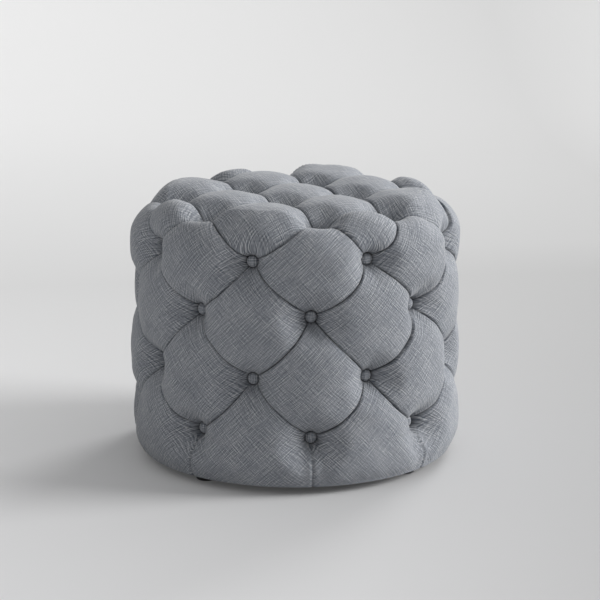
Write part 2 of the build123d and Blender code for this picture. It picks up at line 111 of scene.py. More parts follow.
# How the buttons pull the padding in, and the cloth into puckers
DIP_START = 10.0
DIP_REACH = 59.0
DIP_POWER = 2.05
PIT_WIDTH = 8.0
PIT_SHARE = 0.2
GATHER_START = 9.0
GATHER_WIDTH = 8.0
GATHER_REACH = 46.0
GATHER_HEIGHT = 1.8
GATHER_COUNT = 3.1
GATHER_EDGE = 6.0

# The folds: a valley between the tufts, the cleft in it, the cloth lapped over it, and its bend
FOLD_REACH = 63.0
FOLD_POWER = 2.1
FOLD_SHARE = 0.23
TOP_FOLD_SHARE = 0.3
PLEAT_SHARE = 0.05
SLIT_SHARE = 0.2
SLIT_REACH = 1.4
CLOSING = 2.2
CLOSING_REACH = 25.0
LAP = 1.6
LAP_START = 3.0
LAP_REACH = 16.0
LAP_LIFT = 1.5
LIFT_REACH = 12.0
BOW_RISING = 10.0
BOW_SPREAD = 1.5
TOP_BOW_SPREAD = 2.0

# Painted shade on the cloth: its colour is darkened in the folds and round the buttons
BESIDE_FOLD = 0.25
SHADE_SPAN = 30.0
SHADE_MEAN = 0.8
SHADE_CHANGE = 0.7
HEM_SHADE = 0.2
# Painted shade round the buttons: a dark ring under the rim, then a faint halo
RING_END = 13.0
HALO_END = 32.0
HALO_SHADE = 0.24

# Each tuft shows other threads: metres that they are moved for each millimetre of its swell
CLOTH_SHIFT = 10.0

# The short simulation of the cloth over its filling
CLOTH_FRAMES = 9
CLOTH_STEPS = 3
CLOTH_PRESSURE = 4.0
CLOTH_FULLNESS = 0.02
CLOTH_CAP = 6.0
HELD_REACH = 13.0
HELD_FADE = 12.0
HELD_SHARE = 0.6
HELD_INSIDE = 4.0
HELD_HEM = 6.0


def spread(index):
    """Even steps drawn a little closer towards both ends, where the folds are tight."""
    even = index / CELLS
    return EVEN_SHARE * even + EASED_SHARE * (1.0 - cos(pi * even)) / 2.0


def run_radius(run):
    """The radius of the seats' surface, by the distance run up the side, over the rim and in."""
    if run <= RIM_START:
        return SEAT_RADIUS
    if run <= RIM_END:
        drawn_in = SHOULDER_RADIUS - SEAT_RADIUS
        return SEAT_RADIUS + drawn_in * (run - RIM_START) / (RIM_END - RIM_START)
    return SHOULDER_RADIUS - (run - RIM_END)


def radius_run(radius):
    """The run of a place on the top."""
    return RIM_END + SHOULDER_RADIUS - radius


def clamped(value):
    return min(max(value, 0.0), 1.0)


def rim_share(run):
    """0 on the side, rising over the rim to 1 on the top."""
    return clamped((run - RIM_START) / (RIM_END - RIM_START))


def lifted(azimuth, run, rise):
    """A point of the cover: a place on the seats' surface and how far the padding lifts it."""
    turn = rim_share(run)
    lean = pi / 2.0 * turn
    height = run if run <= RIM_START else RIM_START + (TOP_SEAT - RIM_START) * turn
    radius = run_radius(run) + rise * cos(lean)
    angle = radians(azimuth)
    return Vector((radius * sin(angle), -radius * cos(angle), height + rise * sin(lean)))


class Button:
    """A place where the cover is drawn in, and also each end of a pleat at the hem."""

    def __init__(self, azimuth, run):
        self.azimuth = azimuth
        self.run = run

    def near(self, azimuth):
        """Its azimuth, by whole turns the nearest to another one."""
        return self.azimuth + 360.0 * round((azimuth - self.azimuth) / 360.0)


def arc_scale(run):
    """Millimetres along the surface for one degree of azimuth."""
    bulge = ARC_BULGE if run <= RIM_END else 0.0
    return radians(1.0) * max(run_radius(run) + bulge, LEAST_RADIUS)


def both_on_top(first_run, second_run):
    return min(first_run, second_run) >= OUTER_RUN - 1.0


def apart(button, azimuth, run):
    """How far a place is from a button, measured on the seats' surface."""
    if both_on_top(run, button.run):
        gap = radians(button.azimuth - azimuth)
        one, two = run_radius(button.run), run_radius(run)
        return sqrt(max(one * one + two * two - 2.0 * one * two * cos(gap), 0.0))
    across = (button.near(azimuth) - azimuth) * arc_scale((run + button.run) / 2.0)
    return hypot(across, button.run - run)


def dip(distance):
    """0 under a button, rising to 1 where its pull on the padding ends."""
    share = clamped((distance - DIP_START) / (DIP_REACH - DIP_START))
    near = clamped((distance - DIP_START) / PIT_WIDTH)
    wide = 1.0 - (1.0 - share) ** DIP_POWER
    return wide + (1.0 - wide) * PIT_SHARE * near * (2.0 - near)


def crown_height(run, shoulder=SHOULDER_SWELL):
    """How far the middle of a tuft stands out."""
    if run <= BOTTOM_ROW:
        down = (BOTTOM_ROW - run) / (BOTTOM_ROW - HEM_HEIGHT)
        to_hem = CROWN - HEM_RADIUS + SEAT_RADIUS
        return CROWN + SKIRT_SWELL * sin(pi * down) - to_hem * down**SKIRT_POWER
    turn = rim_share(run)
    return CROWN + (TOP_CROWN - CROWN) * turn + shoulder * sin(pi * turn)


def fold_share(run):
    """How deep the valley beside a fold is, as a share of the tufts' height."""
    if run < BOTTOM_ROW:
        return PLEAT_SHARE + (FOLD_SHARE - PLEAT_SHARE) * run / BOTTOM_ROW
    return FOLD_SHARE + (TOP_FOLD_SHARE - FOLD_SHARE) * rim_share(run)


def slit(distance):
    """The tight cleft of the fold itself."""
    return SLIT_SHARE * exp(-distance / SLIT_REACH)


class Fold:
    """The line where two tufts meet, from button to button, with the fabric lapped over it."""

    def __init__(self, first, last, deep=1.0, flat=False, bow=None):
        self.ends = (first, last)
        steps = [spread(index) for index in range(CELLS + 1)]
        second = last.near(first.azimuth)
        if flat:
            start = self.on_top(first)
            finish = self.on_top(last)
            side = (finish - start).orthogonal().normalized()
            bow = random.uniform(-TOP_BOW_SPREAD, TOP_BOW_SPREAD)
            self.line = []
            for step in steps:
                place = start.lerp(finish, step) + side * bow * sin(pi * step)
                turn = degrees(atan2(place.x, -place.y))
                turn += 360.0 * round((first.azimuth - turn) / 360.0)
                self.line.append((turn, radius_run(place.length)))
        else:
            scale = arc_scale((first.run + last.run) / 2.0)
            along = Vector(((second - first.azimuth) * scale, last.run - first.run))
            side = Vector((along.y, -along.x)).normalized()
            if bow is None:
                bow = random.uniform(-BOW_SPREAD, BOW_SPREAD)
                bow += BOW_RISING if along.x > 0 else 0.0
            self.line = []
            for step in steps:
                turn = first.azimuth + (second - first.azimuth) * step
                run = first.run + along.y * step
                shift = side * bow * sin(pi * step)
                self.line.append((turn + shift.x / scale, run + shift.y))
        self.rises = []
        for azimuth, run in self.line:
            pull = 1.0
            for button in self.ends:
                if button.run > HEM_HEIGHT:
                    pull *= dip(apart(button, azimuth, run))
            cut = deep * (fold_share(run) + slit(0.0))
            self.rises.append(crown_height(run) * (1.0 - cut) * pull)

    @staticmethod
    def on_top(button):
        """The button's x and y."""
        radius = run_radius(button.run)
        angle = radians(button.azimuth)
        return Vector((radius * sin(angle), -radius * cos(angle)))

    def turned(self, azimuth, start):
        """The line from one of its buttons, its azimuths nearest to a given one."""
        line = self.line if self.ends[0] is start else self.line[::-1]
        rises = self.rises if self.ends[0] is start else self.rises[::-1]
        shift = 360.0 * round((azimuth - line[CELLS // 2][0]) / 360.0)
        return [(turn + shift, run) for turn, run in line], rises


folds = {}


def fold(first, last, **options):
    """The one fold between two buttons, made the first time a tuft asks for it."""
    key = frozenset((first, last))
    if key not in folds:
        folds[key] = Fold(first, last, **options)
    return folds[key]


class Tuft:
    """A patch of the cover between four lines, each a fold or a plain join."""

    def __init__(self, lines, pulls, laps, on_top=False, shoulder=SHOULDER_SWELL):
        near, far, left, right = lines
        self.near, self.near_rises = near
        self.far, self.far_rises = far
        self.left, self.left_rises = left
        self.right, self.right_rises = right
        self.pulls = pulls
        self.laps = laps
        self.on_top = on_top
        self.swell = random.uniform(-SWELL_SPREAD, SWELL_SPREAD)
        self.cloth_shift = self.swell * CLOTH_SHIFT
        self.shoulder = shoulder

    def plan(self, line):
        """A line as the tuft blends it: azimuth and run, or flat x and y on the top."""
        if not self.on_top:
            return line
        return [
            (run_radius(run) * sin(radians(turn)), -run_radius(run) * cos(radians(turn)))
            for turn, run in line
        ]

    def place(self, spot):
        """The azimuth and run of a place that plan() has set out."""
        if not self.on_top:
            return spot
        turn = degrees(atan2(spot[0], -spot[1]))
        return turn, radius_run(hypot(*spot))

    def fill(self, grid):
        """Sets the points of the patch, blended between its four lines."""
        near, far = self.plan(self.near), self.plan(self.far)
        left, right = self.plan(self.left), self.plan(self.right)
        for row in range(CELLS + 1):
            down = spread(row)
            for column in range(CELLS + 1):
                over = spread(column)
                vert = grid[row * (CELLS + 1) + column]
                if row in (0, CELLS) or column in (0, CELLS):
                    vert.co = self.on_edge(row, column) * MM
                    continue
                spot = []
                for axis in (0, 1):
                    value = (1 - down) * near[column][axis] + down * far[column][axis]
                    value += (1 - over) * left[row][axis] + over * right[row][axis]
                    value -= (1 - down) * ((1 - over) * near[0][axis] + over * near[-1][axis])
                    value -= down * ((1 - over) * far[0][axis] + over * far[-1][axis])
                    spot.append(value)
                marks = (near[column], far[column], left[row], right[row])
                vert.co = self.padded(spot, row, column, marks) * MM

    def on_edge(self, row, column):
        """A point on one of the four lines."""
        if column == 0:
            line, rise = self.left[row], self.left_rises[row]
        elif column == CELLS:
            line, rise = self.right[row], self.right_rises[row]
        elif row == 0:
            line, rise = self.near[column], self.near_rises[column]
        else:
            line, rise = self.far[column], self.far_rises[column]
        return lifted(line[0], line[1], rise)

    def padded(self, spot, row, column, marks):
        """A point in the patch, lifted by the padding; the marks are its places on the lines."""
        azimuth, run = self.place(spot)
        down, over = spread(row), spread(column)
        pull = 1.0
        for button in self.pulls:
            pull *= dip(apart(button, azimuth, run))
        width = self.between(self.left[row], self.right[row])
        height = self.between(self.near[column], self.far[column])
        walls = (down * height, (1 - down) * height, over * width, (1 - over) * width)
        valley = fold_share(run)
        keep = 1.0
        lift = 0.0
        move = Vector((0.0, 0.0))
        scale = 1.0 if self.on_top else arc_scale(run)
        for wall, mark, (deep, lap) in zip(walls, marks, self.laps):
            share = max(1.0 - wall / FOLD_REACH, 0.0)
            keep *= 1.0 - deep * (valley * share**FOLD_POWER + slit(wall))
            step = Vector(((mark[0] - spot[0]) * scale, mark[1] - spot[1]))
            if deep and step.length > 1e-6:
                amount = CLOSING * wall / (wall + CLOSING) * exp(-wall / CLOSING_REACH)
                amount += lap * LAP * (1.0 - exp(-wall / LAP_START)) * exp(-wall / LAP_REACH)
                move += step.normalized() * amount * deep * pull
                lift += lap * LAP_LIFT * exp(-((wall / LIFT_REACH) ** 2)) * pull
        spot = (spot[0] + move.x / scale, spot[1] + move.y)
        azimuth, run = self.place(spot)
        rise = (crown_height(run, self.shoulder) + self.swell * pull) * pull * keep + lift
        # 1 in the middle of the tuft and 0 on its lines, where the unevenness fades out
        inner = 16.0 * over * (1 - over) * down * (1 - down)
        place = lifted(azimuth, run, rise) + Vector((self.swell * RIPPLE_SHIFT, 0.0, 0.0))
        rise += noise.noise(place / RIPPLE_SPAN) * RIPPLE_HEIGHT * min(inner, 1.0)
        rise += self.gather(azimuth, run, inner)
        return lifted(azimuth, run, rise)

    def painted_shade(self, row, column):
        """Painted shade: 1 on a tight fold, less on a loose one and one step beside it, and 0
        elsewhere.
        """
        walls = (row, CELLS - row, column, CELLS - column)
        shade_share = 0.0
        for wall, (deep, _) in zip(walls, self.laps):
            if wall < 2:
                shade_share = max(shade_share, deep if wall == 0 else BESIDE_FOLD * deep)
        if not shade_share:
            return 0.0
        edge_row = 0 if row == 1 else CELLS if row == CELLS - 1 else row
        edge_column = 0 if column == 1 else CELLS if column == CELLS - 1 else column
        place = self.on_edge(edge_row, edge_column)
        # Painted shade along the fold, stronger or weaker by a slow noise
        tight = SHADE_MEAN + SHADE_CHANGE * noise.noise(place / SHADE_SPAN)
        # The painted shade fades towards the hem, where the pleats loosen
        above = clamped((place.z - HEM_HEIGHT) / (BOTTOM_ROW - HEM_HEIGHT))
        tight *= above**2 * (1.0 - HEM_SHADE) + HEM_SHADE
        return shade_share * clamped(tight)

    def gather(self, azimuth, run, inner):
        """Small puckers that run out from under the buttons."""
        lift = 0.0
        for button in self.pulls:
            distance = apart(button, azimuth, run)
            if distance < GATHER_REACH:
                across = (azimuth - button.near(azimuth)) * arc_scale(run)
                turn = atan2(across, run - button.run)
                # Each button has its own part of the noise
                seed = button.azimuth * 0.7 + button.run * 0.31
                way = (cos(turn) * GATHER_COUNT, sin(turn) * GATHER_COUNT, seed)
                wave = noise.noise(Vector(way))
                fade = clamped((distance - GATHER_START) / GATHER_WIDTH)
                fade *= 1.0 - distance / GATHER_REACH
                lift += wave * GATHER_HEIGHT * fade * min(inner * GATHER_EDGE, 1.0)
        return lift

    @staticmethod
    def between(one, two):
        """How wide the tuft is from one place to another, on the seats' surface."""
        return max(apart(Button(*one), *two), 1.0)


def side_row(run, half=0.0):
    return [Button(COLUMN * (half + k), run) for k in range(COLUMNS)]


bottom_row = side_row(BOTTOM_ROW)
lower_row = side_row(LOWER_ROW, half=0.5)
upper_row = side_row(UPPER_ROW)
top_row = side_row(TOP_ROW, half=0.5)
outer_ring = [
    Button(COLUMN / 2.0 + side * OUTER_TURN + QUARTER * quarter, OUTER_RUN)
    for quarter in range(QUARTERS)
    for side in (-1, 1)
]
inner_ring = [Button(COLUMN * 1.5 + QUARTER * k, radius_run(INNER)) for k in range(QUARTERS)]
button_rows = {
    "side_bottom_row": bottom_row,
    "side_lower_row": lower_row,
    "side_upper_row": upper_row,
    "side_top_row": top_row,
    "top_outer_ring": outer_ring,
    "top_inner_ring": inner_ring,
}

# Each of a tuft's four lines: how deep its fold is there, and how far the tuft laps over it (+) or
# tucks under it (-). A tuft laps over its upper left neighbour and under its lower right one.
OVER = (1.0, 1.0)
HALF = (1.0, 0.4)
TUCK = (1.0, -0.4)
UNDER = (1.0, -1.0)
PLEAT = (0.5, 0.0)
JOIN = (0.0, 0.0)
ROUND = (UNDER, OVER, HALF, TUCK)


def diamond(bottom, right, top, left, on_top=False, shoulder=SHOULDER_SWELL):
    """A tuft between four buttons, its lines bottom-right, left-top, bottom-left and right-top."""
    middle = top.near(bottom.azimuth) / 2.0 + bottom.azimuth / 2.0

    def side(first, last):
        return fold(first, last, flat=both_on_top(first.run, last.run)).turned(middle, first)

    lines = (side(bottom, right), side(left, top), side(bottom, left), side(right, top))
    return Tuft(lines, (bottom, right, top, left), ROUND, on_top, shoulder)


def fan(tip, left, right, base_fold, laps, shoulder=SHOULDER_SWELL):
    """A three-cornered tuft: its rows close up at one button."""
    middle = tip.azimuth
    lines = (
        ([(tip.azimuth, tip.run)] * (CELLS + 1), [0.0] * (CELLS + 1)),
        base_fold.turned(middle, left),
        fold(tip, left).turned(middle, tip),
        fold(tip, right).turned(middle, tip),
    )
    return Tuft(lines, (tip, left, right), laps, shoulder=shoulder)


tufts = []
skirts = []
for k in range(COLUMNS):
    after = (k + 1) % COLUMNS
    tufts.append(diamond(bottom_row[k], lower_row[k], upper_row[k], lower_row[k - 1]))
    tufts.append(diamond(lower_row[k], upper_row[after], top_row[k], upper_row[k]))
    tufts.append(diamond(upper_row[k], top_row[k], outer_ring[k], top_row[k - 1]))

    # The skirt: from a lower button down to a plain join, and on down to the hem between pleats
    join = fold(bottom_row[k], bottom_row[after], deep=0.0, bow=0.0)
    laps = (JOIN, JOIN, HALF, TUCK)
    skirts.append(fan(lower_row[k], bottom_row[k], bottom_row[after], join, laps))

hem_ends = side_row(HEM_HEIGHT)
for k in range(COLUMNS):
    after = (k + 1) % COLUMNS
    middle = lower_row[k].azimuth
    ends = (
        (bottom_row[k], bottom_row[after], 0.0),
        (hem_ends[k], hem_ends[after], 0.0),
        (bottom_row[k], hem_ends[k], PLEAT[0]),
        (bottom_row[after], hem_ends[after], PLEAT[0]),
    )
    lines = [fold(one, two, deep=deep, bow=0.0).turned(middle, one) for one, two, deep in ends]
    foot = Tuft(lines, (bottom_row[k], bottom_row[after]), (JOIN, JOIN, PLEAT, PLEAT))
    # The same piece of cloth runs on from the tuft above
    foot.swell = skirts[k].swell
    foot.cloth_shift = skirts[k].cloth_shift
    tufts += [skirts[k], foot]

for k in range(COLUMNS):
    left, right = outer_ring[k], outer_ring[(k + 1) % COLUMNS]
    inner, before = inner_ring[k // 2], inner_ring[k // 2 - 1]
    if k % 2:
        tufts.append(diamond(top_row[k], right, inner, left, shoulder=KITE_SHOULDER))
    else:
        rim = fold(left, right, flat=True)
        laps = (JOIN, TUCK, HALF, UNDER)
        tufts.append(fan(top_row[k], left, right, rim, laps, FAN_SHOULDER))
        tufts.append(diamond(left, right, inner, before, on_top=True))
tufts.append(diamond(*inner_ring, on_top=True))


def new_object(name, mesh_maker):
    mesh = bpy.data.meshes.new(name)
    mesh_maker.to_mesh(mesh)
    mesh_maker.free()
    made = bpy.data.objects.new(name, mesh)
    bpy.context.scene.collection.objects.link(made)
    return made


all_buttons = [button for row in button_rows.values() for button in row]
button_places = KDTree(len(all_buttons))
for index, button in enumerate(all_buttons):
    button_places.insert(lifted(button.azimuth, button.run, 0.0) * MM, index)
button_places.balance()


def from_button(place):
    """How far a point of the scene is from the nearest button, in millimetres."""
    return button_places.find(place)[2] / MM


def button_shade(place):
    """Painted shade round a button: 1 where its rim presses on the cloth, and a faint painted shade
    further out.
    """
    out = from_button(place)
    ring = clamped((RING_END - out) / (RING_END - BUTTON_RADIUS))
    halo = clamped((HALO_END - out) / (HALO_END - BUTTON_RADIUS))
    return max(ring, HALO_SHADE * halo)


def cover_mesh():
    """All the tufts joined along their folds, turned under at the hem and closed by the lining."""
    bm = bmesh.new()
    weave = bm.loops.layers.uv.new("weave")
    painted_shade = bm.verts.layers.float.new("painted_shade")
    for tuft in tufts:
        before = len(bm.verts)
        bmesh.ops.create_grid(bm, x_segments=CELLS, y_segments=CELLS, size=1.0)
        bm.verts.ensure_lookup_table()
        grid = [bm.verts[index] for index in range(before, len(bm.verts))]
        grid.sort(key=lambda vert: (round(vert.co.y, 5), round(vert.co.x, 5)))
        steps = {vert: divmod(index, CELLS + 1) for index, vert in enumerate(grid)}
        tuft.fill(grid)
        warp, weft = thread_ways(tuft, grid)
        for vert in grid:
            spot = (vert.co.dot(warp) + tuft.cloth_shift, vert.co.dot(weft) - tuft.cloth_shift)
            for loop in vert.link_loops:
                loop[weave].uv = spot
        for vert, (row, column) in steps.items():
            # Painted shade for each point: the folds' and the buttons', whichever is darker
            vert[painted_shade] = max(tuft.painted_shade(row, column), button_shade(vert.co))
    bmesh.ops.remove_doubles(bm, verts=bm.verts, dist=SEAM_MERGE * MM)
    bmesh.ops.dissolve_degenerate(bm, dist=TINY * MM, edges=bm.edges)
    hem = [edge for edge in bm.edges if edge.is_boundary]
    turned_in = (
        (HEM_RADIUS - FABRIC, HEM_HEIGHT),
        (FLANGE_RADIUS, HEM_HEIGHT),
        (FLANGE_RADIUS, HEM_HEIGHT + FABRIC),
    )
    for radius, height in turned_in + LINING:
        made = bmesh.ops.extrude_edge_only(bm, edges=hem)["geom"]
        hem = [item for item in made if isinstance(item, bmesh.types.BMEdge)]
        for vert in {vert for edge in hem for vert in edge.verts}:
            out = Vector((vert.co.x, vert.co.y)).normalized() * radius * MM
            vert.co = Vector((out.x, out.y, height * MM))
    bmesh.ops.contextual_create(bm, geom=hem)
    bmesh.ops.recalc_face_normals(bm, faces=bm.faces)
    for face in bm.faces:
        face.smooth = True
    return bm


def thread_ways(tuft, grid):
    """The two ways the threads run in a tuft: straight, each at 45 degrees to its middle line."""
    first, second, third, last = grid[0].co, grid[CELLS].co, grid[-CELLS - 1].co, grid[-1].co
    if tuft in skirts or len(tuft.pulls) == 2:
        # The cloth of a skirt and of the foot below it is one piece
        down, across = Vector((0.0, 0.0, -1.0)), (last - third).normalized()
    elif len(tuft.pulls) == 3:
        down, across = ((third + last) / 2.0 - first).normalized(), (last - third).normalized()
    else:
        down, across = (last - first).normalized(), (second - third).normalized()
    return (down + across) / sqrt(2.0), (down - across) / sqrt(2.0)


def settle(piece):
    """Lets the filling push the cloth, cut a little full, out between its folds."""
    mesh = piece.data
    painted_shades = mesh.attributes["painted_shade"].data
    before = [vert.co.copy() for vert in mesh.vertices]
    held = piece.vertex_groups.new(name="held")
    free = []
    for vert in mesh.vertices:
        radius, height = hypot(vert.co.x, vert.co.y) / MM, vert.co.z / MM
        inside = radius < SEAT_RADIUS - HELD_INSIDE and height < TOP_SEAT - HELD_INSIDE
        low = height < HEM_HEIGHT + HELD_HEM
        sewn = painted_shades[vert.index].value > BESIDE_FOLD
        beyond = from_button(vert.co) - HELD_REACH
        if inside or low or sewn or beyond < 0.0:
            held.add([vert.index], 1.0, "REPLACE")
        else:
            held.add([vert.index], HELD_SHARE * max(1.0 - beyond / HELD_FADE, 0.0), "REPLACE")
            free.append(vert.index)
    cloth = piece.modifiers.new("filling", "CLOTH")
    cloth.settings.quality = CLOTH_STEPS
    cloth.settings.mass = 0.3
    cloth.settings.tension_stiffness = 20.0
    cloth.settings.compression_stiffness = 20.0
    cloth.settings.shear_stiffness = 6.0
    cloth.settings.bending_stiffness = 0.4
    cloth.settings.shrink_min = -CLOTH_FULLNESS
    cloth.settings.use_pressure = True
    cloth.settings.uniform_pressure_force = CLOTH_PRESSURE
    cloth.settings.effector_weights.gravity = 0.0
    cloth.settings.vertex_group_mass = "held"
    cloth.collision_settings.use_collision = False
    cloth.collision_settings.use_self_collision = False
    cloth.point_cache.frame_start = 1
    cloth.point_cache.frame_end = CLOTH_FRAMES
    for moment in range(1, CLOTH_FRAMES + 1):
        bpy.context.scene.frame_set(moment)
    shaped = piece.evaluated_get(bpy.context.evaluated_depsgraph_get()).data
    moved = [vert.co.copy() for vert in shaped.vertices]
    piece.modifiers.remove(cloth)
    piece.vertex_groups.remove(held)
    bpy.context.scene.frame_set(1)
    # No point moves further than the cap
    cap = CLOTH_CAP * MM
    for index in free:
        step = moved[index] - before[index]
        mesh.vertices[index].co = before[index] + step * (cap / (cap + step.length))
    mesh.update()


cover = new_object("cover", cover_mesh())
settle(cover)


# The weave. The real threads are about 0.9 mm apart; they are drawn 1.15 mm apart, the finest
# that shows. The noise of one thread has nothing in common with the next, NEXT_THREAD away.
THREAD_PITCH = 1.15 * MM
SLUB_LENGTH = 24.0 * MM
NEXT_THREAD = 5.37
FIBRE_SCALE = 620.0
FIBRE_SHARE = 0.3
MOTTLE_SCALE = 26.0
MOTTLE_SHARE = 0.12


def linear(hex_colour):
    """An sRGB hex colour as linear light."""
    channels = [int(hex_colour[place : place + 2], 16) / 255.0 for place in (0, 2, 4)]
    return [c / 12.92 if c <= 0.04045 else ((c + 0.055) / 1.055) ** 2.4 for c in channels] + [1.0]


class Finish:
    """A material and its node tree."""

    def __init__(self, name, **values):
        self.material = bpy.data.materials.new(name)
        self.material.use_nodes = True
        self.tree = self.material.node_tree
        self.shader = self.tree.nodes["Principled BSDF"]
        for socket, value in values.items():
            self.shader.inputs[socket.replace("_", " ")].default_value = value

    def node(self, kind, settings=None, **links):
        """Adds a node, with its settings, and links or sets its inputs by name or number."""
        made = self.tree.nodes.new("ShaderNode" + kind)
        for key, value in (settings or {}).items():
            setattr(made, key, value)
        for key, value in links.items():
            key = key.replace("_", " ")
            by_number = key[0] == "i" and key[1:].isdigit()
            socket = made.inputs[int(key[1:]) if by_number else key]
            if isinstance(value, bpy.types.NodeSocket):
                self.tree.links.new(value, socket)
            else:
                socket.default_value = value
        return made

    def maths(self, operation, *values):
        """The result of a Math node."""
        links = {f"i{place}": value for place, value in enumerate(values)}
        return self.node("Math", {"operation": operation}, **links).outputs[0]

    def join(self, output, socket):
        self.tree.links.new(output, self.shader.inputs[socket])


def ramp(finish, source, stops):
    """A colour ramp between sRGB hex colours at given places."""
    made = finish.node("ValToRGB", Fac=source)
    ends = made.color_ramp.elements
    while len(ends) < len(stops):
        ends.new(0.5)
    for end, (place, colour) in zip(ends, stops):
        end.position = place
        end.color = linear(colour)
    return made.outputs["Color"]


def woven_linen(name):
    """Plain woven linen-look polyester, piece-dyed in two close blue-greys. The threads differ in
    thickness and dye, which the eye reads as a fine heathered crosshatch with darker slubs."""
    cloth = Finish(
        name, Roughness=0.92, Specular_IOR_Level=0.25, Sheen_Weight=0.18, Sheen_Roughness=0.5
    )
    place = cloth.node("UVMap", {"uv_map": "weave"}).outputs["UV"]
    spot = cloth.node("SeparateXYZ", Vector=place)
    threads = []
    for across, along, seed in (("X", "Y", 1.7), ("Y", "X", 8.3)):
        count = cloth.maths("DIVIDE", spot.outputs[across], THREAD_PITCH)
        number = cloth.maths("FLOOR", count)
        length = cloth.maths("DIVIDE", spot.outputs[along], SLUB_LENGTH)
        # Each thread is set against the next one, so that no broad bands build up
        pair = []
        for ahead in (0.0, NEXT_THREAD):
            far_off = cloth.maths("MULTIPLY_ADD", number, NEXT_THREAD, ahead)
            piece = cloth.node("CombineXYZ", X=far_off, Y=length, Z=seed).outputs["Vector"]
            slub = cloth.node("TexNoise", Vector=piece, Scale=1.0, Detail=2.0, Roughness=0.6)
            pair.append(slub.outputs["Fac"])
        threads.append(cloth.maths("MULTIPLY", cloth.maths("SUBTRACT", *pair), 0.5))
    both = cloth.maths("ADD", cloth.maths("ADD", *threads), 0.5)
    fibre = cloth.node("TexNoise", Vector=place, Scale=FIBRE_SCALE, Detail=1.0)
    both = cloth.maths("MULTIPLY_ADD", fibre.outputs["Fac"], FIBRE_SHARE, both)
    both = cloth.maths("SUBTRACT", both, FIBRE_SHARE / 2.0)
    mottle = cloth.node("TexNoise", Vector=place, Scale=MOTTLE_SCALE, Detail=3.0).outputs["Fac"]
    mixed = cloth.node("Mix", {"data_type": "FLOAT"}, Factor=MOTTLE_SHARE, A=both, B=mottle)
    stops = [(0.35, "555b64"), (0.465, "7c8087"), (0.535, "8b8e93"), (0.65, "b7b9bc")]
    colour = ramp(cloth, mixed.outputs["Result"], stops)
    # Painted shade: deep in a fold the two tufts face each other, and the cloth there is painted as
    # a dark line. The same painted shade darkens the cloth round the buttons.
    shade_share = cloth.node("Attribute", {"attribute_name": "painted_shade"})
    shade = cloth.node("Mix", {"data_type": "RGBA"}, Factor=shade_share.outputs["Fac"], i6=colour)
    shade.inputs[7].default_value = linear("1d1f22")
    cloth.join(shade.outputs[2], "Base Color")
    bump = cloth.node("Bump", Strength=0.35, Distance=0.0006, Height=both)
    cloth.join(bump.outputs["Normal"], "Normal")
    return cloth.material


def plain_finish(name, stops, scale, bump_height=0.0003, **values):
    """A finish whose colour drifts between its stops in a noise of a real size."""
    finish = Finish(name, **values)
    place = finish.node("TexCoord").outputs["Object"]
    mapped = finish.node("Mapping", Vector=place, Scale=scale)
    grain = finish.node("TexNoise", Vector=mapped.outputs["Vector"], Scale=1.0, Detail=4.0)
    finish.join(ramp(finish, grain.outputs["Fac"], stops), "Base Color")
    bump = finish.node("Bump", Strength=0.4, Distance=bump_height, Height=grain.outputs["Fac"])
    finish.join(bump.outputs["Normal"], "Normal")
    return finish.material


linen = woven_linen("woven_linen_look_polyester")
finishes = {
    # Moulded ABS: near black with a fine spark-eroded texture
    "black_plastic": plain_finish(
        "moulded_black_abs",
        [(0.4, "111112"), (0.6, "1b1b1c")],
        (900.0,) * 3,
        0.0001,
        Roughness=0.5,
        IOR=1.53,
    ),
    # Birch-faced ply: pale, with long grain along X
    "plywood": plain_finish(
        "birch_plywood",
        [(0.35, "b8925f"), (0.65, "d8b988")],
        (30.0, 320.0, 320.0),
        Roughness=0.7,
        IOR=1.5,
    ),
    # Planed pine: yellower, grain along the posts
    "pine": plain_finish(
        "planed_pine",
        [(0.35, "c49a62"), (0.65, "e2c08d")],
        (260.0, 260.0, 22.0),
        Roughness=0.65,
        IOR=1.5,
    ),
    # Hardboard: brown pressed fibre with a smooth face
    "hardboard": plain_finish(
        "bent_hardboard",
        [(0.4, "5e4129"), (0.6, "75543a")],
        (700.0,) * 3,
        Roughness=0.6,
        IOR=1.5,
    ),
    # Vulcanised fibre: dense red-brown paper board
    "vulcan_fibre": plain_finish(
        "vulcan_fibre",
        [(0.4, "5b3325"), (0.6, "6e4230")],
        (600.0,) * 3,
        Roughness=0.55,
        IOR=1.5,
    ),
    # Polyurethane foam: cream, open cells of half a millimetre
    "foam": plain_finish(
        "polyurethane_foam",
        [(0.35, "d9cda6"), (0.65, "ece3c4")],
        (1500.0,) * 3,
        0.0005,
        Roughness=1.0,
    ),
    # Waxed linen twine, plied
    "waxed_twine": plain_finish(
        "waxed_linen_twine",
        [(0.4, "a08d69"), (0.6, "c4b390")],
        (1800.0,) * 3,
        Roughness=0.6,
    ),
    # Spunbonded polypropylene: black, with a fine felted fibre
    "black_cambric": plain_finish(
        "black_spunbond_cambric",
        [(0.35, "0e0e0f"), (0.65, "202022")],
        (1200.0,) * 3,
        0.0002,
        Roughness=0.95,
    ),
    # Zinc-plated steel: bright grey, slightly dulled
    "zinc_steel": plain_finish(
        "zinc_plated_steel",
        [(0.35, "a9abad"), (0.65, "c6c8ca")],
        (900.0,) * 3,
        0.00005,
        Metallic=1.0,
        Roughness=0.35,
    ),
}


def dress(piece, material):
    piece.data.materials.clear()
    piece.data.materials.append(material)


slots = {part["node"]: part["material_slot"] for part in frame["record"]["subparts"]}
for name, node in frame["nodes"].items():
    if slots[name] in finishes:
        dress(node, finishes[slots[name]])

dress(cover, linen)
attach(cover, "root")
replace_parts(cover, "tufted_cover")


# A button from its crown down to its back: radius and height
BUTTON_PROFILE = (
    (0.0, 7.7),
    (3.0, 7.45),
    (5.8, 6.5),
    (7.9, 5.0),
    (9.1, 3.4),
    (BUTTON_RADIUS, 1.9),
    (9.1, 0.6),
    (7.6, 0.2),
)


